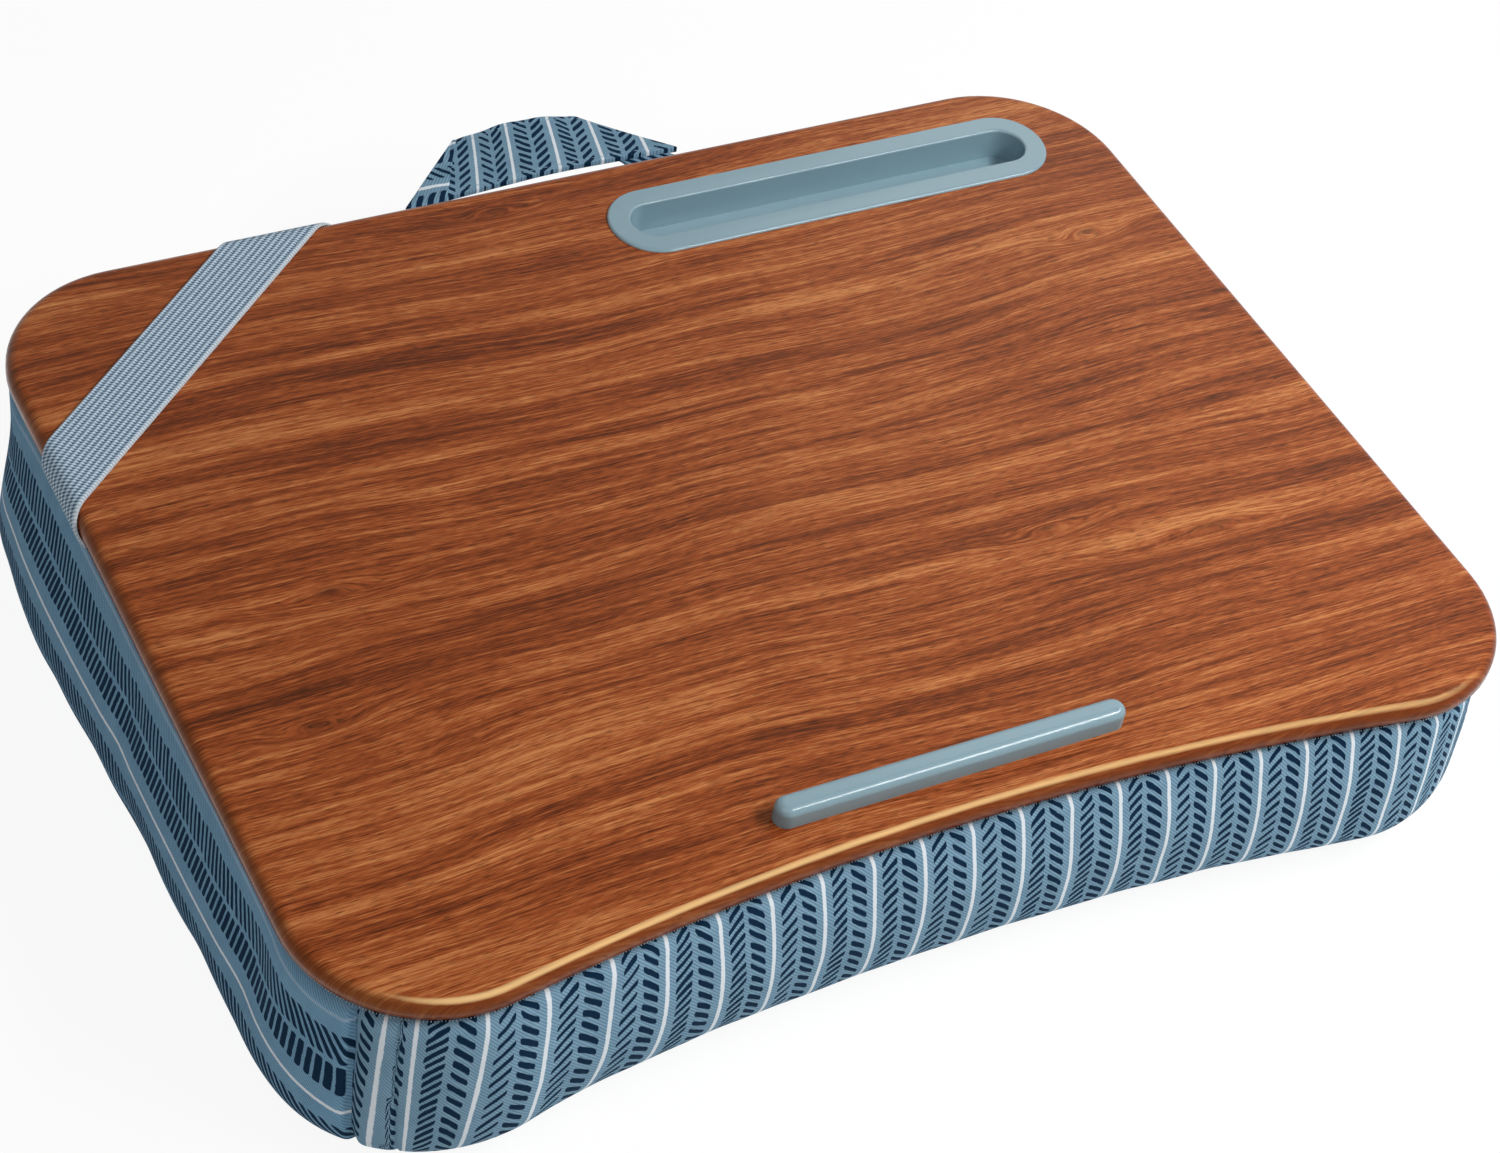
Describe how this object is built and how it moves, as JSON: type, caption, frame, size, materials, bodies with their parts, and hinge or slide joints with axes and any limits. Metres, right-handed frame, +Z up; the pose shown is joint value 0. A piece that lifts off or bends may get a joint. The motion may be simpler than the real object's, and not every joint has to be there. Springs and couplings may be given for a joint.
{
  "type": "lap desk",
  "caption": "Cushioned lap desk: a flat board with a curved-in front edge on a bead-filled fabric cushion, with a phone slot, a device ledge, an elastic strap and a carrying handle.",
  "frame": {"origin": "on the surface the cushion rests on, under the middle of the deck board", "axes": "+X to the user's right, along the long side; +Y away from the user, towards the handle; +Z up out of the deck"},
  "size_m": [0.474, 0.4025, 0.0845],
  "materials": {
    "walnut_laminate": "satin",
    "blue_grey_plastic": "satin",
    "grey_elastic": "matte",
    "printed_canvas": "matte",
    "grey_felt": "matte",
    "white_beads": "matte",
    "zinc_steel": "satin"
  },
  "bodies": {
    "desk": {"deck_board": "walnut_laminate", "phone_slot_bezel": "blue_grey_plastic", "device_ledge": "blue_grey_plastic", "ledge_screws": "zinc_steel", "strap_staples": "zinc_steel", "handle_ends": "printed_canvas", "handle_staples": "zinc_steel", "cushion_top_panel": "grey_felt", "front_gusset": "printed_canvas", "left_gusset": "printed_canvas", "right_gusset": "printed_canvas", "rear_gusset": "printed_canvas", "bottom_panel": "printed_canvas", "bead_fill": "white_beads", "cushion_staples": "zinc_steel"},
    "handle": {"handle_strap": "printed_canvas"},
    "strap": {"elastic_strap": "grey_elastic"}
  },
  "joints": [
    {"name": "handle_swing", "type": "hinge", "parent": "desk", "child": "handle", "pos_m": [0, 0.1782, 0.0661], "axis": [1, 0, 0], "range_deg": [-70, 90], "stiffness_Nm_per_rad": 0.01},
    {"name": "strap_lift", "type": "slide", "parent": "desk", "child": "strap", "axis": [0, 0, 1], "range_m": [0, 0.02], "stiffness_N_per_m": 40, "deforming": ["elastic_strap"]}
  ]
}
